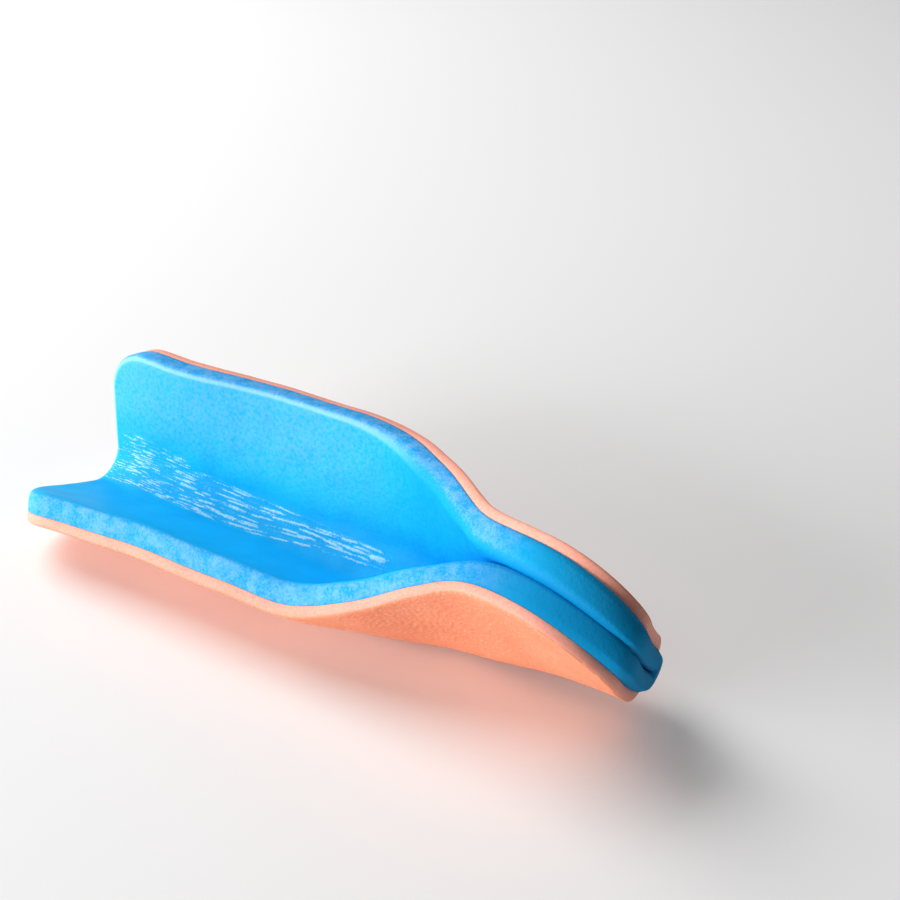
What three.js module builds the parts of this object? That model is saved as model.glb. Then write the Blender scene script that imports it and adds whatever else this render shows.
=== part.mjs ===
import * as THREE from 'three';

// Padded finger splint: a flat strip of two bonded foams, folded along its length into an open
// trough for the finger and pinched shut past the fingertip. Millimetres. X runs along the fold
// from the open end to the pinched end, Y points to the side that stands up, Z is up.
// The origin is at the bottom centre of the box around the splint.

// The flat strip before it is shaped
const STRIP_LENGTH = 95;
const STRIP_WIDTH = 46;
const OPEN_END_CORNER = 7;
const PINCHED_END_CORNER = 8;

// The soft pad on the inside, the backing on the outside, and the bond line between them
const PAD_THICKNESS = 3.3;
const BACKING_THICKNESS = 1.6;
const BOND_GAP = 0.3;
const PAD_ARRIS = 0.6;
const BACKING_ARRIS = 0.4;

// The pad is squeezed thinner towards the pinched end, and bulges out past its cut edge there.
// All but the bulge are shares: where the squeeze starts along the strip, how much of the
// thickness is left at the end, how the squeeze grows, and how much of the bulge the shoulder and
// the face have.
const SQUEEZE_START = 0.7;
const PAD_SQUEEZED = 0.78;
const SQUEEZE_POWER = 1.5;
const PAD_BULGE = 1;
const SHOULDER_BULGE = 0.8;
const FACE_BULGE = 0.5;

// Where the pad's two faces close on each other at the pinched end, as shares of the length, and
// the gap that is left between them
const CLOSING_START = 0.72;
const CLOSING_END = 0.86;
const CLOSED_GAP = 0.5;

// Radius of the pad's face in the bottom of the trough, which the sections below scale
const TROUGH_RADIUS = 5;

// How deep the backing is pressed flat where the splint rests
const REST_FLAT = 0.5;

// How the strip is bent, one row per section. at: share of the strip's length. heading and
// climb: direction of the fold line, in degrees to the standing side and upwards. tilt: how far
// the middle of the opening leans from upright to the low side. opening: angle between the two
// flanges. radius: share of TROUGH_RADIUS. standing and low: how far each flange curls inwards.
const SECTIONS = [
  { at: 0.00, heading: 0, climb: 2, tilt: 34, opening: 76, radius: 0.80, standing: -7, low: 5 },
  { at: 0.13, heading: 3, climb: -1, tilt: 32, opening: 68, radius: 0.90, standing: -5, low: 7 },
  { at: 0.27, heading: 2, climb: 0, tilt: 29, opening: 76, radius: 1.00, standing: -3, low: 14 },
  { at: 0.42, heading: 2, climb: 0, tilt: 28, opening: 82, radius: 1.10, standing: -2, low: 20 },
  { at: 0.53, heading: 2, climb: -1, tilt: 29, opening: 77, radius: 1.15, standing: -1, low: 21 },
  { at: 0.63, heading: 1, climb: 0, tilt: 28, opening: 47, radius: 0.90, standing: 1, low: 12 },
  { at: 0.74, heading: 0, climb: 4, tilt: 27, opening: 18, radius: 0.33, standing: 0, low: 3 },
  { at: 0.86, heading: 0, climb: 14, tilt: 31, opening: 3, radius: 0.18, standing: -6, low: 5 },
  { at: 1.00, heading: 6, climb: -9, tilt: 49, opening: 1, radius: 0.09, standing: -22, low: 13 },
];

// Fineness of the surface: rows across the strip, columns along it, rows round each corner, and
// how much closer the columns lie near the fold
const ROWS = 41;
const COLUMNS = 27;
const CORNER_ROWS = 6;
const COLUMN_CROWDING = 1.3;

// Curvature added to a straight flange, so that one formula serves straight and curled ones
const LEAST_CURVATURE = 1e-6;

const { degToRad, smoothstep } = THREE.MathUtils;

// The section table as one smooth curve along the strip
const BENDS = Object.keys(SECTIONS[0]).filter((name) => name !== 'at');
const bendCurve = new THREE.CubicInterpolant(
  SECTIONS.map((section) => section.at * STRIP_LENGTH),
  SECTIONS.flatMap((section) => BENDS.map((name) => section[name])),
  BENDS.length,
);

function bendsAt(along) {
  const values = bendCurve.evaluate(along);
  return Object.fromEntries(BENDS.map((name, index) => [name, values[index]]));
}

// Share of the pad's thickness that is left at a place along the strip
function padShare(along) {
  const start = SQUEEZE_START * STRIP_LENGTH;
  const pressed = Math.max(0, (along - start) / (STRIP_LENGTH - start));
  return 1 - (1 - PAD_SQUEEZED) * pressed ** SQUEEZE_POWER;
}

// Direction of the fold line
function foldDirection(along) {
  const { heading, climb } = bendsAt(along);
  const flat = Math.cos(degToRad(climb));
  return new THREE.Vector3(
    flat * Math.cos(degToRad(heading)),
    flat * Math.sin(degToRad(heading)),
    Math.sin(degToRad(climb)),
  );
}

// Points of the fold line, walked from the open end in short straight steps
const FOLD_STEP = 0.5;
const foldLine = [new THREE.Vector3()];
while (foldLine.length * FOLD_STEP <= STRIP_LENGTH + 2 * PAD_BULGE) {
  const middle = (foldLine.length - 0.5) * FOLD_STEP;
  const step = foldDirection(middle).multiplyScalar(FOLD_STEP);
  foldLine.push(foldLine.at(-1).clone().add(step));
}

function foldPoint(along) {
  const index = Math.min(Math.floor(along / FOLD_STEP), foldLine.length - 2);
  return foldLine[index].clone().lerp(foldLine[index + 1], along / FOLD_STEP - index);
}

// A point of the bond surface: along the strip, and across it from the fold line to an edge,
// with across positive on the standing side. Each flange leaves the bend tangentially.
function bondPoint(along, across) {
  const { tilt, opening, radius, standing, low } = bendsAt(along);
  const bend = radius * TROUGH_RADIUS + PAD_THICKNESS * padShare(along);
  const turn = degToRad(180 - opening) / 2;
  const bendLength = bend * turn;
  const distance = Math.abs(across);
  const round = Math.min(distance, bendLength) / bend;
  let out = bend * Math.sin(round);
  let up = bend * (1 - Math.cos(round));
  const flange = distance - bendLength;
  if (flange > 0) {
    const curl = degToRad(across > 0 ? standing : low);
    const curvature = curl / (STRIP_WIDTH / 2 - bendLength) + LEAST_CURVATURE;
    const end = turn + curvature * flange;
    out += (Math.sin(end) - Math.sin(turn)) / curvature;
    up += (Math.cos(turn) - Math.cos(end)) / curvature;
  }
  const forward = foldDirection(along);
  const side = new THREE.Vector3(-forward.y, forward.x, 0).normalize();
  const upright = new THREE.Vector3().crossVectors(forward, side);
  const lean = degToRad(tilt);
  const middle = upright.clone().multiplyScalar(Math.cos(lean));
  middle.addScaledVector(side, -Math.sin(lean));
  const sideways = side.multiplyScalar(Math.cos(lean));
  sideways.addScaledVector(upright, Math.sin(lean));
  return foldPoint(along)
    .addScaledVector(sideways, Math.sign(across) * out)
    .addScaledVector(middle, up);
}

// Direction from the bond surface into the trough, from places a short reach away
function bondNormal(along, across) {
  const reach = 0.05;
  const before = Math.max(along - reach, 0);
  const lengthways = bondPoint(along + reach, across).sub(bondPoint(before, across));
  const crossways = bondPoint(along, across + reach).sub(bondPoint(along, across - reach));
  return lengthways.cross(crossways).normalize();
}

// Height of the pad's face above the bond surface. In the pinched fold each side of the pad
// swells on the flanges until it is half the closed gap short of the middle between them.
function padHeight(along, across) {
  const free = PAD_THICKNESS * padShare(along);
  const toOther = bondPoint(along, -across).sub(bondPoint(along, across));
  const apart = Math.max(toOther.length(), CLOSED_GAP);
  const facing = Math.abs(bondNormal(along, across).dot(toOther)) / apart;
  const filled = Math.max((apart - CLOSED_GAP) / 2 / Math.max(facing, 0.5), free);
  const closing = smoothstep(along / STRIP_LENGTH, CLOSING_START, CLOSING_END);
  return free + (filled - free) * closing * smoothstep(facing, 0.75, 0.97);
}

// Outline of the flat strip: where a row lies and how wide the strip is there, drawn in by
// inset all round. The rows at each end step round the corner arcs.
function rowOutline(row, inset) {
  const last = ROWS - 1 - row;
  const corner = Math.min(row, last, CORNER_ROWS) / CORNER_ROWS;
  const turn = corner * Math.PI / 2;
  const fullCorner = row < last ? OPEN_END_CORNER : PINCHED_END_CORNER;
  const radius = fullCorner - inset;
  const halfWidth = STRIP_WIDTH / 2 - fullCorner + radius * Math.sin(turn);
  const fromEnd = inset + radius * (1 - Math.cos(turn));
  if (row < CORNER_ROWS) return { along: fromEnd, halfWidth };
  if (last < CORNER_ROWS) return { along: STRIP_LENGTH - fromEnd, halfWidth };
  const straight = STRIP_LENGTH - OPEN_END_CORNER - PINCHED_END_CORNER;
  const share = (row - CORNER_ROWS) / (ROWS - 1 - 2 * CORNER_ROWS);
  return { along: OPEN_END_CORNER + share * straight, halfWidth };
}

// A point of a layer: level says how far its rim is drawn in, how high it lies above the bond
// surface, which share of the pad's height is added to that, and how far it bulges at the
// pinched end
function layerPoint(row, column, level) {
  const { along, halfWidth } = rowOutline(row, level.inset);
  const even = 2 * column / (COLUMNS - 1) - 1;
  const across = Math.sign(even) * Math.abs(even) ** COLUMN_CROWDING * halfWidth;
  const bulgeStart = STRIP_LENGTH - PINCHED_END_CORNER;
  const place = along + level.bulge * smoothstep(along, bulgeStart, STRIP_LENGTH);
  const height = level.height + level.ofPad * padHeight(place, across);
  return bondPoint(place, across).addScaledVector(bondNormal(place, across), height);
}

// The cells round the rim of a face, in order
function rimCells() {
  const cells = [];
  for (let column = 0; column < COLUMNS - 1; column++) cells.push([0, column]);
  for (let row = 0; row < ROWS - 1; row++) cells.push([row, COLUMNS - 1]);
  for (let column = COLUMNS - 1; column > 0; column--) cells.push([ROWS - 1, column]);
  for (let row = ROWS - 1; row > 0; row--) cells.push([row, 0]);
  return cells;
}

// A closed layer from its levels, bottom first: whole faces at the first and last, rims between
function layerGeometry(levels) {
  const points = [];
  const triangles = [];
  const rim = rimCells();
  const addFace = (level, facesUp) => {
    const start = points.length;
    for (let row = 0; row < ROWS; row++) {
      for (let column = 0; column < COLUMNS; column++) {
        points.push(layerPoint(row, column, level));
      }
    }
    for (let row = 0; row < ROWS - 1; row++) {
      for (let column = 0; column < COLUMNS - 1; column++) {
        const a = start + row * COLUMNS + column;
        const b = a + COLUMNS;
        if (facesUp) triangles.push(a, b, b + 1, a, b + 1, a + 1);
        else triangles.push(a, b + 1, b, a, a + 1, b + 1);
      }
    }
    return rim.map(([row, column]) => start + row * COLUMNS + column);
  };
  let below = addFace(levels[0], false);
  for (const [index, level] of levels.entries()) {
    if (index === 0) continue;
    let above;
    if (index === levels.length - 1) {
      above = addFace(level, true);
    } else {
      const start = points.length;
      points.push(...rim.map(([row, column]) => layerPoint(row, column, level)));
      above = rim.map((_, place) => start + place);
    }
    for (let place = 0; place < rim.length; place++) {
      const next = (place + 1) % rim.length;
      triangles.push(below[place], above[next], below[next]);
      triangles.push(below[place], above[place], above[next]);
    }
    below = above;
  }
  const geometry = new THREE.BufferGeometry().setFromPoints(points);
  geometry.setIndex(triangles);
  return geometry;
}

// The pad: rounded at the arris that faces the finger
function padGeometry() {
  return layerGeometry([
    { inset: 0, height: BOND_GAP / 2, ofPad: 0, bulge: 0 },
    { inset: 0, height: 0, ofPad: 0.5, bulge: PAD_BULGE },
    { inset: 0, height: -PAD_ARRIS, ofPad: 1, bulge: PAD_BULGE * SHOULDER_BULGE },
    { inset: PAD_ARRIS, height: 0, ofPad: 1, bulge: PAD_BULGE * FACE_BULGE },
  ]);
}

// The backing: a thinner layer, rounded at its outer arris
function backingGeometry() {
  const shoulder = BACKING_THICKNESS - BACKING_ARRIS;
  return layerGeometry([
    { inset: BACKING_ARRIS, height: -BACKING_THICKNESS, ofPad: 0, bulge: 0 },
    { inset: 0, height: -shoulder, ofPad: 0, bulge: 0 },
    { inset: 0, height: -BOND_GAP / 2, ofPad: 0, bulge: 0 },
  ]);
}

// Stands both layers on the ground plane, with the backing pressed flat where it rests
function settle(geometries) {
  const box = new THREE.Box3();
  for (const geometry of geometries) {
    geometry.computeBoundingBox();
    box.union(geometry.boundingBox);
  }
  const centre = box.getCenter(new THREE.Vector3());
  for (const geometry of geometries) {
    geometry.translate(-centre.x, -centre.y, -box.min.z - REST_FLAT);
    const places = geometry.attributes.position;
    for (let index = 0; index < places.count; index++) {
      places.setZ(index, Math.max(places.getZ(index), 0));
    }
    geometry.computeVertexNormals();
  }
}

function foam(name, geometry, colour) {
  const material = new THREE.MeshStandardMaterial({ color: colour, roughness: 0.75, metalness: 0 });
  const mesh = new THREE.Mesh(geometry, material);
  mesh.name = name;
  return mesh;
}

const pad = padGeometry();
const backing = backingGeometry();
settle([pad, backing]);

const splint = new THREE.Group();
splint.add(foam('inner_pad', pad, 0x14b4f5));
splint.add(foam('outer_backing', backing, 0xf5a582));

export default splint;
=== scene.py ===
import math

import bpy
import numpy as np
from mathutils import Matrix, Vector


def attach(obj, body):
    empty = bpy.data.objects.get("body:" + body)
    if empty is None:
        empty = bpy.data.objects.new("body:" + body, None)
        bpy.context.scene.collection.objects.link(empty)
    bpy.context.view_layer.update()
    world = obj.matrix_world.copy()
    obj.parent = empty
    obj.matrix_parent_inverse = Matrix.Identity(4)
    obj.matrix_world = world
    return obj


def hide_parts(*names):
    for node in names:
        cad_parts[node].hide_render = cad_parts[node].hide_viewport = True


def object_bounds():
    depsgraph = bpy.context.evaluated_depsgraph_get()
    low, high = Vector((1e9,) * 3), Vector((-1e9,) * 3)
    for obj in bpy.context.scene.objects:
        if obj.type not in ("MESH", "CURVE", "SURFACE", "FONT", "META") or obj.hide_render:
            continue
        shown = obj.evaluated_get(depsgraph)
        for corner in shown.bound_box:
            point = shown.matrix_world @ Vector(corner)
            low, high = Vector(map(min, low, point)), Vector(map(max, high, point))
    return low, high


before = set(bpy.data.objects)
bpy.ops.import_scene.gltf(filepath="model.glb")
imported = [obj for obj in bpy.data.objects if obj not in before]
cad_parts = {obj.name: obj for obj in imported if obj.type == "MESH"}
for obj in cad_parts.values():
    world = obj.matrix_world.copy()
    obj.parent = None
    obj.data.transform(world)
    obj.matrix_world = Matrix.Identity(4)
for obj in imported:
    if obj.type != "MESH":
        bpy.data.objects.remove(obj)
cad_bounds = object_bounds()

# Padded finger splint: the looks of its two bonded foams. Metres. X runs along the fold from the
# open end to the pinched end, Y points to the side that stands up, Z is up.

MM = 0.001

# The flat strip before it is shaped, as in the CAD
STRIP_LENGTH = 95 * MM
STRIP_WIDTH = 46 * MM
OPEN_END_CORNER = 7 * MM
PINCHED_END_CORNER = 8 * MM

# The layers and the trough's radius, as in the CAD, with rounder arrises than its facets allow.
# The two foams meet at a hairline where the CAD keeps its bond gap.
PAD_THICKNESS = 3.3 * MM
BACKING_THICKNESS = 1.6 * MM
HAIRLINE = 0.02 * MM
PAD_ARRIS = 1.1 * MM
BACKING_ARRIS = 0.5 * MM
BOND_ARRIS = 0.03 * MM
TROUGH_RADIUS = 5 * MM
REST_FLAT = 0.5 * MM

# How much rounder the pad's arris gets: share of the length, then what is added to PAD_ARRIS on
# the standing and on the low side. The one turns into the other within this share of the half
# width, on either side of the fold.
ROUNDER = [
    (0.00, 0.0 * MM, 0.0 * MM),
    (0.40, 0.1 * MM, 0.0 * MM),
    (0.62, 0.8 * MM, 0.2 * MM),
    (0.76, 0.7 * MM, 0.3 * MM),
    (0.88, 0.4 * MM, 0.4 * MM),
    (0.93, 0.2 * MM, 0.2 * MM),
    (1.00, -0.4 * MM, -0.4 * MM),
]
ARRIS_TURNOVER = 0.3

# How far the cut edges are hollowed where they meet the bond
PAD_HOLLOW = 0.04 * MM
BACKING_HOLLOW = 0.03 * MM

# The squeeze towards the pinched end, as in the CAD, and the pad's bulge past the backing there:
# at the strip's end and at its sides
SQUEEZE_START = 0.7
PAD_SQUEEZED = 0.78
SQUEEZE_POWER = 1.5
PAD_BULGE = 1.4 * MM
RIM_BULGE = 0.4 * MM

# Where the pad's two faces close on each other, as shares of the length, the gap between the
# faces once they meet, and the least distance that is reckoned with
CLOSING_START = 0.77
CLOSING_END = 0.92
CLOSED_GAP = 0.06 * MM
LEAST_APART = 0.1 * MM

# How squarely two places of the pad face each other, 1 being square: the least that is reckoned
# with, where they start to close and where they close fully
LEAST_FACING = 0.5
FACING_START = 0.75
FACING_END = 0.97

# How far the closing may change the pad's height, as shares of the height that it has when it is
# free, and how much of the trough's radius it fills at the bottom
LEAST_FILLED = 0.6
MOST_FILLED = 1.9
BOTTOM_FILLED = 0.9

# How the strip is bent, as in the CAD: one row per section with the share of the length, then
# heading, climb, tilt, opening in degrees, share of the trough's radius, and how far the
# standing and the low flange curl inwards, in degrees
BEND_NAMES = ("heading", "climb", "tilt", "opening", "radius", "standing", "low")
SECTIONS = [
    (0.00, 0, 2, 34, 76, 0.80, -7, 5),
    (0.13, 3, -1, 32, 68, 0.90, -5, 7),
    (0.27, 2, 0, 29, 76, 1.00, -3, 14),
    (0.42, 2, 0, 28, 82, 1.10, -2, 20),
    (0.53, 2, -1, 29, 77, 1.15, -1, 21),
    (0.63, 1, 0, 28, 47, 0.90, 1, 12),
    (0.74, 0, 4, 27, 18, 0.33, 0, 3),
    (0.86, 0, 14, 31, 3, 0.18, -6, 5),
    (1.00, 6, -9, 49, 1, 0.09, -22, 13),
]

# Fineness of the meshes: rows across the strip, columns along it and rows round each corner, how
# many more columns the wrinkled band has, and between which shares of the half width
ROWS = 205
COLUMNS = 191
CORNER_ROWS = 16
COLUMN_CROWDING = 3.0
CROWDED_FROM = -0.22
CROWDED_TO = 0.43
CROWDED_EDGE = 0.1

# The wrinkled band in the bottom of the trough: share of the length, how far it reaches to the
# low and to the standing side, then the wrinkles' length, width and spacing there
WRINKLE_BAND = [
    (0.00, -4.0 * MM, 10.0 * MM, 1.8 * MM, 0.17 * MM, 0.70 * MM),
    (0.08, -2.8 * MM, 10.0 * MM, 2.4 * MM, 0.18 * MM, 0.70 * MM),
    (0.19, -4.0 * MM, 8.0 * MM, 3.8 * MM, 0.22 * MM, 0.82 * MM),
    (0.29, -4.0 * MM, 6.5 * MM, 4.6 * MM, 0.26 * MM, 0.98 * MM),
    (0.42, -1.2 * MM, 5.5 * MM, 4.8 * MM, 0.27 * MM, 1.15 * MM),
    (0.56, 0.8 * MM, 4.2 * MM, 3.4 * MM, 0.28 * MM, 1.30 * MM),
]

# The lanes that wrinkles follow, a ridge's full height, and how far it strays from its path. The
# golden ratio spreads the lanes that go on evenly where the band has room for fewer.
WRINKLE_LANES = 20
WRINKLE_HEIGHT = 0.18 * MM
WRINKLE_WANDER = 0.07 * MM
GOLDEN = (math.sqrt(5) - 1) / 2
RANDOM_SEED = 11


def between(place, start, end):
    """0 before start, 1 after end, and a smooth step in between."""
    share = np.clip((place - start) / (end - start), 0, 1)
    return share * share * (3 - 2 * share)


def smooth_row(places, values, at):
    """Values at places as one smooth curve, each slope the mean of the steps next to it."""
    steps = np.diff(values) / np.diff(places)
    slopes = np.concatenate([steps[:1], (steps[1:] + steps[:-1]) / 2, steps[-1:]])
    index = np.clip(np.searchsorted(places, at, side="right") - 1, 0, len(places) - 2)
    width = places[index + 1] - places[index]
    share = np.clip((at - places[index]) / width, 0, 1)
    rise = share * share * (3 - 2 * share)
    leaving = share * (1 - share) ** 2 * width * slopes[index]
    arriving = share * share * (share - 1) * width * slopes[index + 1]
    return values[index] * (1 - rise) + values[index + 1] * rise + leaving + arriving


SECTION_PLACES = np.array([row[0] for row in SECTIONS]) * STRIP_LENGTH
SECTION_VALUES = np.array([row[1:] for row in SECTIONS], dtype=float).T


def bends_at(along):
    """The bends at places along the strip, by name."""
    rows = [smooth_row(SECTION_PLACES, values, along) for values in SECTION_VALUES]
    return dict(zip(BEND_NAMES, rows))


def pad_share(along):
    """Share of the pad's thickness that is left at a place along the strip."""
    start = SQUEEZE_START * STRIP_LENGTH
    pressed = np.maximum(0, (along - start) / (STRIP_LENGTH - start))
    return 1 - (1 - PAD_SQUEEZED) * pressed**SQUEEZE_POWER


def fold_direction(along):
    """Direction of the fold line."""
    bends = bends_at(along)
    heading = np.radians(bends["heading"])
    climb = np.radians(bends["climb"])
    flat = np.cos(climb)
    return np.stack([flat * np.cos(heading), flat * np.sin(heading), np.sin(climb)], -1)


# Points of the fold line, walked from the open end in short straight steps
FOLD_STEP = 0.5 * MM
step_count = int((STRIP_LENGTH + 2 * PAD_BULGE) / FOLD_STEP) + 1
step_middles = (np.arange(step_count) + 0.5) * FOLD_STEP
fold_line = np.zeros((step_count + 1, 3))
fold_line[1:] = np.cumsum(fold_direction(step_middles) * FOLD_STEP, axis=0)
fold_places = np.arange(step_count + 1) * FOLD_STEP


def fold_point(along):
    """Points of the fold line at places along it."""
    return np.stack([np.interp(along, fold_places, fold_line[:, axis]) for axis in range(3)], -1)


# What a flange without any curl still curves, per metre, so that nothing is divided by zero
LEAST_CURVATURE = 0.001


def bond_point(along, across):
    """Points of the bond surface; across is positive on the standing side."""
    bends = bends_at(along)
    bend = bends["radius"] * TROUGH_RADIUS + PAD_THICKNESS * pad_share(along)
    turn = np.radians(180 - bends["opening"]) / 2
    bend_length = bend * turn
    distance = np.abs(across)
    part = np.minimum(distance, bend_length) / bend
    out = bend * np.sin(part)
    up = bend * (1 - np.cos(part))
    flange = np.maximum(distance - bend_length, 0)
    curl = np.radians(np.where(across > 0, bends["standing"], bends["low"]))
    curvature = curl / (STRIP_WIDTH / 2 - bend_length) + LEAST_CURVATURE
    end = turn + curvature * flange
    out = out + (np.sin(end) - np.sin(turn)) / curvature
    up = up + (np.cos(turn) - np.cos(end)) / curvature
    forward = fold_direction(along)
    side = np.stack([-forward[..., 1], forward[..., 0], np.zeros_like(along)], -1)
    side /= np.linalg.norm(side, axis=-1, keepdims=True)
    upright = np.cross(forward, side)
    lean = np.radians(bends["tilt"])[..., None]
    middle = upright * np.cos(lean) - side * np.sin(lean)
    sideways = side * np.cos(lean) + upright * np.sin(lean)
    out = (np.sign(across) * out)[..., None]
    return fold_point(along) + sideways * out + middle * up[..., None]


def bond_normal(along, across):
    """Direction from the bond surface into the trough."""
    reach = 0.05 * MM
    before = np.maximum(along - reach, 0)
    lengthways = bond_point(before + 2 * reach, across) - bond_point(before, across)
    crossways = bond_point(along, across + reach) - bond_point(along, across - reach)
    normal = np.cross(lengthways, crossways)
    return normal / np.linalg.norm(normal, axis=-1, keepdims=True)


def closing(along):
    """0 where the trough is open, 1 where the pad's faces press on each other."""
    return between(along, CLOSING_START * STRIP_LENGTH, CLOSING_END * STRIP_LENGTH)


def pad_height(along, across):
    """Height of the pad's face over the bond surface: it fills the pinched fold to its middle,
    and the bottom of the fold, where the pad doesn't face itself, nearly up."""
    free = PAD_THICKNESS * pad_share(along)
    to_other = bond_point(along, -across) - bond_point(along, across)
    apart = np.maximum(np.linalg.norm(to_other, axis=-1), LEAST_APART)
    facing = np.abs((bond_normal(along, across) * to_other).sum(axis=-1)) / apart
    filled = np.maximum(apart - CLOSED_GAP, 0) / 2 / np.maximum(facing, LEAST_FACING)
    filled = np.clip(filled, LEAST_FILLED * free, MOST_FILLED * free)
    bottom = free + BOTTOM_FILLED * bends_at(along)["radius"] * TROUGH_RADIUS
    closed = bottom + (filled - bottom) * between(facing, FACING_START, FACING_END)
    return free + (closed - free) * closing(along)


random = np.random.default_rng(RANDOM_SEED)


class Ripples:
    """Seeded smooth unevenness over the strip, about -1 to 1, of one typical size."""

    def __init__(self, size, count=24):
        angle = random.uniform(0, 2 * math.pi, count)
        pace = 2 * math.pi / (size * random.uniform(0.7, 1.6, count))
        self.along = pace * np.cos(angle)
        self.across = pace * np.sin(angle)
        self.phase = random.uniform(0, 2 * math.pi, count)

    def at(self, along, across):
        total = np.zeros(np.broadcast(along, across).shape)
        for pace_along, pace_across, phase in zip(self.along, self.across, self.phase):
            total += np.cos(along * pace_along + across * pace_across + phase)
        return total / math.sqrt(len(self.phase)) * 0.8


# Unevenness of both layers, dents of the pad's face, wander and open cells of the cut edges, and
# how the wrinkles gather, with the depths of the first four. The wander of the two sides is read
# this far from the middle, so that each side has its own.
hand_bent = Ripples(22 * MM)
pad_dents = Ripples(6 * MM)
edge_wander = Ripples(9 * MM)
edge_cells = Ripples(1.1 * MM)
gathers = Ripples(7 * MM)
HAND_BENT_DEPTH = 0.14 * MM
PAD_DENT_DEPTH = 0.05 * MM
EDGE_WANDER_DEPTH = 0.10 * MM
EDGE_WANDER_SIDE = 10 * MM
EDGE_CELL_DEPTH = 0.02 * MM


def scattered_wrinkles():
    """Short ridges end to end in lanes that run together towards the band's inner end."""
    places = np.array([row[0] for row in WRINKLE_BAND]) * STRIP_LENGTH
    low, standing, length, width, spacing = [
        np.array([row[column] for row in WRINKLE_BAND]) for column in range(1, 6)
    ]

    def lane_across(along, share):
        reach_low = np.interp(along, places, low)
        return reach_low + (np.interp(along, places, standing) - reach_low) * share

    wrinkles = []
    for lane in range(WRINKLE_LANES):
        along = places[0] + random.uniform(-1, 1) * length[0]
        while along < places[-1]:
            own_length = np.interp(along, places, length) * random.uniform(0.6, 1.5)
            usual = np.interp(along, places, width)
            middle = along + own_length / 2
            share = (lane + 0.5 + random.uniform(-0.2, 0.2)) / WRINKLE_LANES
            across = lane_across(middle, share)
            slope = (lane_across(middle + 3 * MM, share) - across) / (3 * MM)
            band = lane_across(middle, 1) - lane_across(middle, 0)
            height = random.uniform(0.8, 1.15) * (1 - 0.5 * max(2 * share - 1, 0) ** 3)
            height *= np.clip(0.75 + 0.7 * gathers.at(middle, 2 * across), 0.3, 1.2)
            wrinkle = (
                middle,
                across,
                own_length,
                usual * random.uniform(0.8, 1.3),
                0.6 * slope + random.normal(0, 0.03),
                random.uniform(-0.12, 0.12) * MM,
                height,
            )
            apart = np.interp(along, places, spacing)
            if GOLDEN * lane % 1 < band / (WRINKLE_LANES * apart):
                wrinkles.append(wrinkle)
            along += own_length * random.uniform(0.8, 1.05)
    return wrinkles


WRINKLES = scattered_wrinkles()

# The puckers at the inner end of the wrinkled band, the largest of them, given one by one: place
# along, place across, length, width, slant, sway and height
PUCKERS = [
    (51.3 * MM, 2.5 * MM, 3.4 * MM, 0.60 * MM, 0.02, 0.10 * MM, 1.3),
    (47.5 * MM, 2.4 * MM, 4.0 * MM, 0.32 * MM, -0.02, 0.15 * MM, 1.2),
    (43.5 * MM, 1.8 * MM, 4.4 * MM, 0.30 * MM, -0.03, -0.1 * MM, 1.2),
    (46.0 * MM, 3.9 * MM, 3.2 * MM, 0.34 * MM, 0.02, 0.15 * MM, 1.1),
    (39.0 * MM, 0.9 * MM, 4.0 * MM, 0.30 * MM, -0.02, 0.2 * MM, 1.1),
    (37.0 * MM, 3.2 * MM, 4.5 * MM, 0.28 * MM, -0.02, 0.2 * MM, 1.1),
    (28.0 * MM, -2.6 * MM, 4.4 * MM, 0.32 * MM, 0.03, 0.15 * MM, 1.2),
    (24.5 * MM, -1.4 * MM, 4.0 * MM, 0.30 * MM, -0.02, -0.1 * MM, 1.2),
    (20.0 * MM, 0.2 * MM, 3.6 * MM, 0.28 * MM, -0.02, 0.1 * MM, 1.1),
]


# How fast a wrinkle sways along its length, how sharply it tapers at its ends, and how much the
# lower one adds where two cross
WRINKLE_SWAYING = 5
WRINKLE_TAPER = 0.7
WRINKLE_CROSSING = 0.25


def wrinkle_share(along, across):
    """How far the pad's face stands proud in a wrinkle, as a share of WRINKLE_HEIGHT."""
    share = np.zeros_like(along)
    across = across + WRINKLE_WANDER * edge_cells.at(along, across)
    for place, aside, length, width, slant, sway, height in WRINKLES + PUCKERS:
        run = (along - place) / length
        path = aside + slant * (along - place) + sway * np.sin(run * WRINKLE_SWAYING)
        off = (across - path) / width
        ends = np.clip(1 - (2 * run) ** 2, 0, 1)
        ridge = height * ends**WRINKLE_TAPER * np.exp(-(off**2))
        share = np.maximum(share, ridge) + WRINKLE_CROSSING * np.minimum(share, ridge)
    return share


# Places of the columns as shares of the half width, closer together in the wrinkled band
share_steps = np.linspace(-1, 1, 801)
crowded = between(share_steps, CROWDED_FROM - CROWDED_EDGE, CROWDED_FROM)
crowded = crowded * (1 - between(share_steps, CROWDED_TO, CROWDED_TO + CROWDED_EDGE))
crowding = np.cumsum(1 + COLUMN_CROWDING * crowded)
crowding = 2 * (crowding - crowding[0]) / (crowding[-1] - crowding[0]) - 1


def row_outline(row, inset):
    """Place along the strip and half width there, at rows that step round the corner arcs."""
    last = ROWS - 1 - row
    turn = np.minimum(np.minimum(row, last), CORNER_ROWS) / CORNER_ROWS * math.pi / 2
    corner = np.where(row < last, OPEN_END_CORNER, PINCHED_END_CORNER)
    radius = corner - inset
    half_width = STRIP_WIDTH / 2 - corner + radius * np.sin(turn)
    from_end = inset + radius * (1 - np.cos(turn))
    straight = STRIP_LENGTH - OPEN_END_CORNER - PINCHED_END_CORNER
    share = (row - CORNER_ROWS) / (ROWS - 1 - 2 * CORNER_ROWS)
    along = OPEN_END_CORNER + share * straight
    along = np.where(row < CORNER_ROWS, from_end, along)
    along = np.where(last < CORNER_ROWS, STRIP_LENGTH - from_end, along)
    return along, half_width


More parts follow.
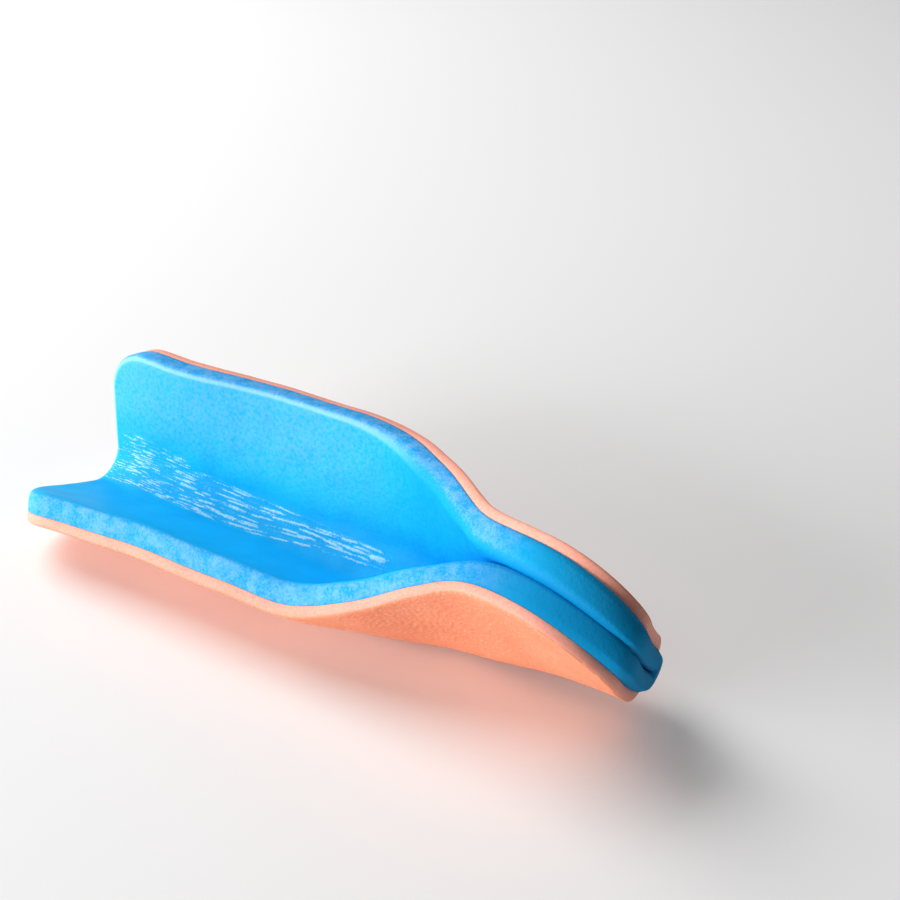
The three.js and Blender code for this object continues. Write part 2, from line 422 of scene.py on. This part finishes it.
def pad_arris(along, even):
    """The pad's arris at places along the strip, from -1 on the low side to 1 on the other."""
    places, standing, low = np.array(ROUNDER).T
    places = places * STRIP_LENGTH
    on_standing = smooth_row(places, standing, along)
    on_low = smooth_row(places, low, along)
    side = between(even, -ARRIS_TURNOVER, ARRIS_TURNOVER)
    return PAD_ARRIS + on_low + (on_standing - on_low) * side


def layer_points(row, column, level):
    """Points of one level of a layer, with their places on the strip and what they are."""
    first_along, _ = row_outline(row, 0)
    closed = closing(first_along)
    even = 2 * column / (COLUMNS - 1) - 1
    arris = pad_arris(first_along, even) if level["pad_share"] else BACKING_ARRIS
    drawn_in = level["inset"] + arris * (1 - math.cos(level["turn"]))
    dropped = arris * (1 - math.sin(level["turn"]))
    along, half_width = row_outline(row, drawn_in)
    side = EDGE_WANDER_SIDE * np.sign(even)
    half_width = half_width + EDGE_WANDER_DEPTH * edge_wander.at(along, side)
    half_width = half_width + RIM_BULGE * level["bulge"] * closed
    half_width = half_width + EDGE_CELL_DEPTH * level["cut"] * edge_cells.at(along, drawn_in)
    across = np.interp(even, crowding, share_steps) * half_width
    bulge_start = STRIP_LENGTH - PINCHED_END_CORNER
    bulge = PAD_BULGE * level["bulge"] * between(along, bulge_start, STRIP_LENGTH)
    place = along + bulge
    height = level["height"] + HAND_BENT_DEPTH * hand_bent.at(along, across)
    if level["pad_share"]:
        height = height + level["pad_share"] * pad_height(place, across)
    if level["rounds_up"]:
        height = height - dropped
    if level["rounds_down"]:
        height = height + dropped
    crest = np.zeros_like(along)
    if level["wrinkled"]:
        crest = wrinkle_share(along, across)
        dents = PAD_DENT_DEPTH * pad_dents.at(along, across)
        height = height + (WRINKLE_HEIGHT * crest + dents) * (1 - closed)
    normal = bond_normal(place, across)
    points = bond_point(place, across) + normal * height[..., None]
    strip = np.stack([along, across, height], -1)
    cut = np.full_like(along, level["cut"])
    return points, strip, crest, cut


def rim_cells():
    """The cells round the rim of a face, in order."""
    top = [(0, column) for column in range(COLUMNS - 1)]
    right = [(row, COLUMNS - 1) for row in range(ROWS - 1)]
    bottom = [(ROWS - 1, column) for column in range(COLUMNS - 1, 0, -1)]
    left = [(row, 0) for row in range(ROWS - 1, 0, -1)]
    return np.array(top + right + bottom + left)


def new_level(**given):
    """One level of a layer. inset and height: how far its rim is drawn in and how high it lies.
    pad_share: share of the pad's height added to that. turn: how far round the arris it is, and
    which way the arris rounds. bulge: its share of the bulges. cut: share of cut edge.
    """
    usual = {
        "inset": 0.0,
        "height": 0.0,
        "pad_share": 0.0,
        "turn": 0.0,
        "rounds_up": False,
        "rounds_down": False,
        "bulge": 0.0,
        "cut": 0.0,
        "wrinkled": False,
    }
    return {**usual, **given}


def layer(levels):
    """A closed layer from its levels, bottom first: whole faces at the ends, rims between."""
    rim = rim_cells()
    grid_row, grid_column = np.meshgrid(np.arange(ROWS), np.arange(COLUMNS), indexing="ij")
    rim_index = rim[:, 0] * COLUMNS + rim[:, 1]
    batches = []
    starts = []
    total = 0
    for number, one in enumerate(levels):
        whole = number in (0, len(levels) - 1)
        row = grid_row.ravel() if whole else rim[:, 0]
        column = grid_column.ravel() if whole else rim[:, 1]
        batch = layer_points(row.astype(float), column.astype(float), one)
        batches.append(batch)
        starts.append(total + (rim_index if whole else np.arange(len(rim))))
        total += len(batch[0])
    points, strip, crest, cut = [np.concatenate(parts) for parts in zip(*batches)]
    corner = (grid_row[:-1, :-1] * COLUMNS + grid_column[:-1, :-1]).ravel()
    underside = np.stack([corner, corner + 1, corner + COLUMNS + 1, corner + COLUMNS], -1)
    top = total - ROWS * COLUMNS
    upper = underside[:, ::-1] + top
    quads = [underside, upper]
    for below, above in zip(starts[:-1], starts[1:]):
        quads.append(np.stack([below, above, np.roll(above, -1), np.roll(below, -1)], -1))
    return points, np.concatenate(quads), strip, crest, cut


def pad_levels():
    """The pad's levels: the bond side, the cut edge that bellies out a little, the round arris
    and the wrinkled face."""
    levels = [
        new_level(inset=BOND_ARRIS + PAD_HOLLOW, height=HAIRLINE / 2),
        new_level(inset=PAD_HOLLOW, height=HAIRLINE / 2 + BOND_ARRIS, bulge=0.3, cut=1),
        new_level(inset=0.25 * PAD_HOLLOW, pad_share=0.12, bulge=0.6, cut=1),
        new_level(pad_share=0.20, bulge=0.85, cut=1),
        new_level(pad_share=0.28, bulge=1, cut=1),
    ]
    for degrees in (0, 15, 30, 45, 60, 75, 90):
        levels.append(new_level(
            turn=math.radians(degrees),
            pad_share=1,
            rounds_up=True,
            bulge=1 - 0.25 * degrees / 90,
            cut=1 - degrees / 90,
            wrinkled=degrees == 90,
        ))
    return levels


def backing_levels():
    """The backing's levels: its outer face, the round arris and the cut edge up to the bond."""
    levels = []
    for degrees in (90, 68, 45, 22, 0):
        levels.append(new_level(
            turn=math.radians(degrees),
            height=-BACKING_THICKNESS,
            rounds_down=True,
            cut=1 - degrees / 90,
        ))
    levels.append(new_level(height=-0.5 * BACKING_THICKNESS, cut=1))
    levels.append(new_level(inset=BACKING_HOLLOW, height=-BOND_ARRIS - HAIRLINE / 2, cut=1))
    levels.append(new_level(inset=BOND_ARRIS + BACKING_HOLLOW, height=-HAIRLINE / 2))
    return levels


def add_piece(name, points, quads, strip, crest, cut, material):
    """A mesh object with the strip places, wrinkle crests and cut edges stored on its points."""
    mesh = bpy.data.meshes.new(name)
    mesh.from_pydata(points.tolist(), [], quads.tolist())
    place = mesh.attributes.new("strip_place", "FLOAT_VECTOR", "POINT")
    place.data.foreach_set("vector", strip.ravel())
    for label, values in (("wrinkle_crest", crest), ("cut_edge", cut)):
        stored = mesh.attributes.new(label, "FLOAT", "POINT")
        stored.data.foreach_set("value", values)
    mesh.polygons.foreach_set("use_smooth", [True] * len(mesh.polygons))
    mesh.materials.append(material)
    mesh.validate()
    mesh.update()
    piece = bpy.data.objects.new(name, mesh)
    bpy.context.scene.collection.objects.link(piece)
    return piece


def new_material(name):
    """A material with nodes, its node tree and its shader."""
    material = bpy.data.materials.new(name)
    material.use_nodes = True
    tree = material.node_tree
    return material, tree, tree.nodes["Principled BSDF"]


def put(tree, kind, inputs, **settings):
    """Adds a node, with its settings, and with numbers or links in its sockets."""
    node = tree.nodes.new(kind)
    for name, value in settings.items():
        setattr(node, name, value)
    for name, value in inputs.items():
        if isinstance(value, bpy.types.NodeSocket):
            tree.links.new(value, node.inputs[name])
        else:
            node.inputs[name].default_value = value
    return node


# The Mix node's sockets that count when it mixes colours
MIX_SHARE = 0
MIX_FIRST = 6
MIX_SECOND = 7
MIX_RESULT = 2


def blend(tree, share, first, second):
    """Colour between two colours."""
    inputs = {MIX_SHARE: share, MIX_FIRST: first, MIX_SECOND: second}
    return put(tree, "ShaderNodeMix", inputs, data_type="RGBA").outputs[MIX_RESULT]


def ramp(tree, value, low, high, to_low=0.0, to_high=1.0):
    """A number mapped smoothly from one range to another."""
    inputs = {"Value": value, "From Min": low, "From Max": high, "To Min": to_low, "To Max": to_high}
    node = put(tree, "ShaderNodeMapRange", inputs, interpolation_type="SMOOTHSTEP")
    return node.outputs["Result"]


def times(tree, first, second):
    """Product of two numbers."""
    node = put(tree, "ShaderNodeMath", {0: first, 1: second}, operation="MULTIPLY")
    return node.outputs["Value"]


def plus(tree, first, second):
    """Sum of two numbers."""
    node = put(tree, "ShaderNodeMath", {0: first, 1: second}, operation="ADD")
    return node.outputs["Value"]


def noise(tree, coordinates, size, detail=3.0, rough=0.55):
    """Noise whose features are about the given size, in metres."""
    inputs = {"Vector": coordinates, "Scale": 1 / size, "Detail": detail, "Roughness": rough}
    return put(tree, "ShaderNodeTexNoise", inputs).outputs["Fac"]


def stored(tree, name, output="Fac"):
    """A value stored on the mesh."""
    return put(tree, "ShaderNodeAttribute", {}, attribute_name=name).outputs[output]


def bump(tree, height, distance, under=None):
    """A bump of the given depth in metres, on top of another one if given."""
    inputs = {"Height": height, "Distance": distance, "Strength": 1.0}
    if under is not None:
        inputs["Normal"] = under
    return put(tree, "ShaderNodeBump", inputs).outputs["Normal"]


# Colours of the pad: its face, from the trough to the neck, whose darker blue there is painted
# shade; a pale painted sheen; painted highlights for the wrinkle crests and the arris; the cut edge;
# and painted shade at the pinched end
PAD_BLUE = (0.0, 0.49, 0.89, 1)
PAD_BLUE_DEEP = (0.0, 0.45, 0.86, 1)
PAD_NECK_SHADE = (0.0, 0.34, 0.80, 1)
PAD_SHEEN = (0.11, 0.52, 0.93, 1)
PAD_HIGHLIGHT = (0.47, 0.84, 0.97, 1)
PAD_CUT_LIGHT = (0.16, 0.50, 0.93, 1)
PAD_CUT_DARK = (0.01, 0.38, 0.90, 1)
PAD_TIP_SHADE = (0.0, 0.21, 0.46, 1)


def pad_face(tree, place, noises, crest):
    """Colour of the pad's face: darker towards the neck as painted shade, a pale painted sheen of
    fine dimples on the standing side at the open end, and grainy painted highlights on the wrinkle
    crests."""
    # Painted sheen: a pale haze painted where light is reflected, high on the standing side at the
    # open end
    aside = ramp(tree, place["Y"], 5 * MM, 18 * MM)
    painted_sheen = times(tree, aside, ramp(tree, place["X"], 30 * MM, 64 * MM, 1, 0.1))
    face = blend(tree, ramp(tree, noises["broad"], 0.35, 0.65), PAD_BLUE_DEEP, PAD_BLUE)
    # Painted shade: a darker blue towards the neck, low on the standing side
    neckwards = ramp(tree, place["X"], 36 * MM, 66 * MM, 0, 0.85)
    neck_shade = times(tree, ramp(tree, place["Y"], 2 * MM, 9 * MM), neckwards)
    face = blend(tree, neck_shade, face, PAD_NECK_SHADE)
    dimpled = ramp(tree, plus(tree, noises["fine"], times(tree, painted_sheen, 0.10)), 0.34, 0.76)
    face = blend(tree, times(tree, dimpled, ramp(tree, painted_sheen, 0, 1, 0.08, 0.9)), face, PAD_SHEEN)
    # Painted highlights: pale, grainy colour on the wrinkle crests
    grainy = plus(tree, crest, ramp(tree, noises["cells"], 0.3, 0.7, -0.25, 0.15))
    grain = ramp(tree, noises["fine"], 0.30, 0.60, 0.6, 1)
    return blend(tree, times(tree, ramp(tree, grainy, 0.14, 0.72), grain), face, PAD_HIGHLIGHT)


def pad_cut_edge(tree, noises, pinched):
    """Colour of the pad's cut edge: mottled, and plain in the pinched end."""
    mottle = plus(tree, times(tree, noises["cells"], 0.5), times(tree, noises["lumps"], 0.5))
    edge = blend(tree, ramp(tree, mottle, 0.36, 0.64), PAD_CUT_DARK, PAD_CUT_LIGHT)
    return blend(tree, times(tree, pinched, 0.9), edge, PAD_BLUE_DEEP)


def arris_highlight(tree, place, cut):
    """Share of painted highlight along the arris of the standing side at the open end."""
    highlight = times(tree, ramp(tree, cut, 0.05, 0.3), ramp(tree, cut, 0.4, 0.7, 1, 0))
    highlight = times(tree, highlight, ramp(tree, place["X"], 42 * MM, 62 * MM, 0.5, 0))
    return times(tree, highlight, ramp(tree, place["Y"], 0, 10 * MM))


def tip_shade(tree, place):
    """Share of painted shade at the pinched end, which starts earlier on the low side."""
    earlier = ramp(tree, place["Y"], -10 * MM, 10 * MM, 7 * MM, 0)
    return ramp(tree, plus(tree, place["X"], earlier), 78 * MM, 96 * MM)


def pad_material():
    """Blue closed-cell foam: a finely dimpled skin and a cut edge of open cells."""
    material, tree, shader = new_material("pad_foam")
    where = put(tree, "ShaderNodeTexCoord", {}).outputs["Object"]
    strip_place = {"Vector": stored(tree, "strip_place", "Vector")}
    place = put(tree, "ShaderNodeSeparateXYZ", strip_place).outputs
    cut = stored(tree, "cut_edge")
    noises = {
        "broad": noise(tree, where, 9 * MM, 2),
        "fine": noise(tree, where, 0.55 * MM, 3, 0.6),
        "cells": noise(tree, where, 0.35 * MM, 2, 0.7),
        "lumps": noise(tree, where, 1.6 * MM, 3),
    }
    pinched = ramp(tree, place["X"], 0.86 * STRIP_LENGTH, 0.92 * STRIP_LENGTH)
    face = pad_face(tree, place, noises, stored(tree, "wrinkle_crest"))
    edge = pad_cut_edge(tree, noises, pinched)
    drawn_over = ramp(tree, place["X"], 50 * MM, 66 * MM, 0, -0.25)
    rim = plus(tree, plus(tree, cut, times(tree, noises["cells"], 0.5)), drawn_over)
    frayed = ramp(tree, rim, 0.55, 0.85)
    colour = blend(tree, frayed, face, edge)
    # Painted highlight along the standing side's arris at the open end
    colour = blend(tree, arris_highlight(tree, place, cut), colour, PAD_HIGHLIGHT)
    # Painted shade: a dark blue over the pinched end
    colour = blend(tree, times(tree, tip_shade(tree, place), 0.9), colour, PAD_TIP_SHADE)
    tree.links.new(colour, shader.inputs["Base Color"])
    rough = ramp(tree, frayed, 0, 1, 0.50, 0.85)
    tree.links.new(rough, shader.inputs["Roughness"])
    skin = bump(tree, noises["fine"], 0.06 * MM)
    open_cells = times(tree, frayed, ramp(tree, pinched, 0, 1, 1, 0.4))
    skin = bump(tree, times(tree, noises["cells"], open_cells), 0.12 * MM, under=skin)
    tree.links.new(skin, shader.inputs["Normal"])
    shader.inputs["Specular IOR Level"].default_value = 0.1
    return material


# Colours of the backing: its pebbled skin with pale specks painted as glints, and its cut edge
BACKING_ORANGE = (1.0, 0.37, 0.21, 1)
BACKING_ORANGE_DEEP = (0.95, 0.30, 0.16, 1)
BACKING_GLINT = (1.0, 0.55, 0.38, 1)
BACKING_CUT = (1.0, 0.44, 0.34, 1)
BACKING_CUT_DEEP = (1.0, 0.37, 0.26, 1)


def backing_material():
    """Orange closed-cell foam: a fine pebbled skin with pale specks that are painted glints, and a
    smoother cut edge.
    """
    material, tree, shader = new_material("backing_foam")
    where = put(tree, "ShaderNodeTexCoord", {}).outputs["Object"]
    cut = stored(tree, "cut_edge")
    broad = noise(tree, where, 12 * MM, 2)
    inputs = {"Vector": where, "Scale": 1 / (0.55 * MM), "Randomness": 1.0}
    pebbles = put(tree, "ShaderNodeTexVoronoi", inputs, feature="SMOOTH_F1").outputs["Distance"]
    fine = noise(tree, where, 0.30 * MM, 3, 0.6)
    glints = noise(tree, where, 0.36 * MM, 1)
    face = blend(tree, ramp(tree, broad, 0.35, 0.65), BACKING_ORANGE_DEEP, BACKING_ORANGE)
    face = blend(tree, ramp(tree, pebbles, 0.30, 0.70, 0, 0.35), face, BACKING_ORANGE_DEEP)
    # Painted glints: pale specks over the skin
    face = blend(tree, ramp(tree, glints, 0.60, 0.74, 0, 0.8), face, BACKING_GLINT)
    edge = blend(tree, ramp(tree, fine, 0.35, 0.65), BACKING_CUT, BACKING_CUT_DEEP)
    edged = ramp(tree, cut, 0.45, 0.8)
    colour = blend(tree, edged, face, edge)
    tree.links.new(colour, shader.inputs["Base Color"])
    rough = ramp(tree, fine, 0.3, 0.7, 0.58, 0.72)
    tree.links.new(rough, shader.inputs["Roughness"])
    skin = bump(tree, times(tree, pebbles, ramp(tree, edged, 0, 1, 1, 0)), 0.12 * MM)
    skin = bump(tree, fine, 0.03 * MM, under=skin)
    tree.links.new(skin, shader.inputs["Normal"])
    shader.inputs["Specular IOR Level"].default_value = 0.3
    return material


# Both layers, placed as the CAD's are: centred on its box and pressed flat where they rest
pad_layer = layer(pad_levels())
backing_layer = layer(backing_levels())
both = np.concatenate([pad_layer[0], backing_layer[0]])
cad_low, cad_high = [Vector(corner) for corner in cad_bounds]
middle = (both.min(axis=0) + both.max(axis=0)) / 2
shift = np.array([
    (cad_low.x + cad_high.x) / 2 - middle[0],
    (cad_low.y + cad_high.y) / 2 - middle[1],
    -both[:, 2].min() - REST_FLAT,
])


def settled(points):
    """Points on the floor's height, with what would reach below it pressed flat."""
    placed = points + shift
    placed[:, 2] = np.maximum(placed[:, 2], 0)
    return placed


pad = add_piece("foam_pad", settled(pad_layer[0]), *pad_layer[1:], pad_material())
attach(pad, "root")
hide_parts("inner_pad")

backing = add_piece(
    "foam_backing", settled(backing_layer[0]), *backing_layer[1:], backing_material()
)
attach(backing, "root")
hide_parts("outer_backing")


def add_floor():
    """A plain pale floor, 6 m wide, with two near whites in soft large clouds."""
    half = 3.0
    mesh = bpy.data.meshes.new("floor")
    corners = [(-half, -half, 0), (half, -half, 0), (half, half, 0), (-half, half, 0)]
    mesh.from_pydata(corners, [], [(0, 1, 2, 3)])
    material, tree, shader = new_material("floor")
    where = put(tree, "ShaderNodeTexCoord", {}).outputs["Object"]
    tone = blend(tree, noise(tree, where, 0.25, 2), (0.90, 0.90, 0.90, 1), (0.94, 0.94, 0.94, 1))
    tree.links.new(tone, shader.inputs["Base Color"])
    shader.inputs["Roughness"].default_value = 0.9
    shader.inputs["Specular IOR Level"].default_value = 0.1
    mesh.materials.append(material)
    floor = bpy.data.objects.new("floor", mesh)
    bpy.context.scene.collection.objects.link(floor)


add_floor()

# The photograph's viewing angle, fitted to the splint's outline
VIEW_AZIMUTH = math.radians(36.542)
VIEW_ELEVATION = math.radians(30.085)
VIEW_ROLL = math.radians(-0.431)
VIEW_DISTANCE = 214.41 * MM
VIEW_TARGET = np.array([6.544, 18.319, 20.02]) * MM
LENS_MM = 61.06
SENSOR_MM = 36

view_back = np.array([
    math.sin(VIEW_AZIMUTH) * math.cos(VIEW_ELEVATION),
    -math.cos(VIEW_AZIMUTH) * math.cos(VIEW_ELEVATION),
    math.sin(VIEW_ELEVATION),
])
level_right = np.array([math.cos(VIEW_AZIMUTH), math.sin(VIEW_AZIMUTH), 0])
level_up = np.cross(view_back, level_right)
view_right = math.cos(VIEW_ROLL) * level_right + math.sin(VIEW_ROLL) * level_up
view_up = -math.sin(VIEW_ROLL) * level_right + math.cos(VIEW_ROLL) * level_up


def add_camera():
    """The camera at the photograph's viewing angle."""
    data = bpy.data.cameras.new("camera")
    data.lens = LENS_MM
    data.sensor_width = SENSOR_MM
    data.clip_start = 10 * MM
    data.clip_end = 20
    camera = bpy.data.objects.new("camera", data)
    bpy.context.scene.collection.objects.link(camera)
    matrix = Matrix.Identity(4)
    for column, axis in enumerate((view_right, view_up, view_back)):
        for row in range(3):
            matrix[row][column] = axis[row]
    matrix.translation = Vector(VIEW_TARGET + VIEW_DISTANCE * view_back)
    camera.matrix_world = matrix
    bpy.context.scene.camera = camera


add_camera()


# The lights' distance from the point that they look at, the middle of the splint
LIGHT_DISTANCE = 0.8
LIT_POINT = Vector((0, 0, 12 * MM))


def add_light(name, turn, height, size, power):
    """A soft square light that looks at the splint: degrees to the right of the camera's side
    of it, degrees above the floor, its width in metres and its power in watts."""
    data = bpy.data.lights.new(name, "AREA")
    data.size = size
    data.energy = power
    light = bpy.data.objects.new(name, data)
    bpy.context.scene.collection.objects.link(light)
    bearing = math.radians(turn) + VIEW_AZIMUTH
    flat = math.cos(math.radians(height))
    towards = Vector((
        flat * math.sin(bearing),
        -flat * math.cos(bearing),
        math.sin(math.radians(height)),
    ))
    light.location = LIT_POINT + towards * LIGHT_DISTANCE
    light.rotation_mode = "QUATERNION"
    light.rotation_quaternion = towards.to_track_quat("Z", "Y")


# Soft studio light: two low ones at the front left, and one behind on the left
add_light("left_light", turn=-85, height=8, size=0.5, power=3.7)
add_light("front_left_light", turn=-60, height=8, size=0.5, power=6.3)
add_light("back_left_light", turn=-130, height=45, size=0.6, power=6.3)

# A faint even light from all around fills the shadows
WORLD_LIGHT = 0.10
world = bpy.data.worlds.new("studio")
world.use_nodes = True
background = world.node_tree.nodes["Background"]
background.inputs["Color"].default_value = (1, 1, 1, 1)
background.inputs["Strength"].default_value = WORLD_LIGHT
bpy.context.scene.world = world
bpy.context.scene.view_settings.view_transform = "Standard"
